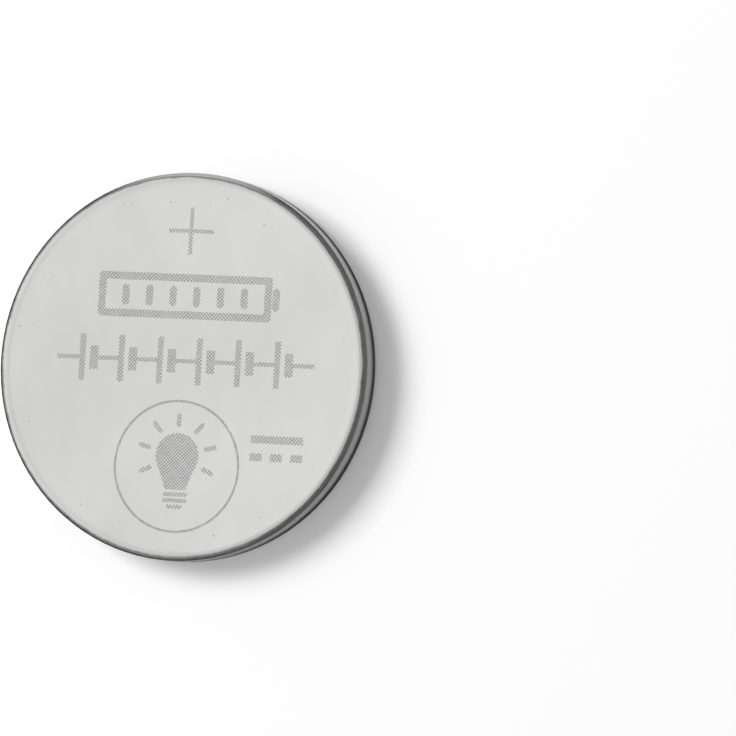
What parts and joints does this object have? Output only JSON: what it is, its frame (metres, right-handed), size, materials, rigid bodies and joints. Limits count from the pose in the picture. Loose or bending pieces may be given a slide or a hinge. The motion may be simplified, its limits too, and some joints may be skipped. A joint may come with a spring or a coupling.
{
  "type": "lithium coin cell",
  "caption": "Flat round lithium coin cell: a crimped steel can is the positive pole, with a black sealing gasket and a pitted steel cap as the negative pole.",
  "frame": {"origin": "centre of the negative cap's outer face, the lowest point of the part as it lies", "axes": "+Z is the cell's axis, from the negative cap up to the positive face; +X and +Y lie in the plane of the faces"},
  "size_m": [0.02, 0.02, 0.0025],
  "materials": {
    "can_steel": "bright satin stainless steel",
    "gasket_plastic": "dull black moulded polypropylene",
    "cap_steel": "bright satin stainless steel with coined pits",
    "lithium_metal": "soft dull silver",
    "separator_fleece": "thin white non-woven fleece",
    "cathode_oxide": "pressed dark grey-black powder",
    "ring_steel": "plain thin stainless strip"
  },
  "bodies": {
    "root": {"positive_can": "can_steel", "gasket": "gasket_plastic", "negative_cap": "cap_steel", "lithium_anode": "lithium_metal", "separator": "separator_fleece", "cathode_pellet": "cathode_oxide", "cathode_ring": "ring_steel"}
  },
  "joints": []
}
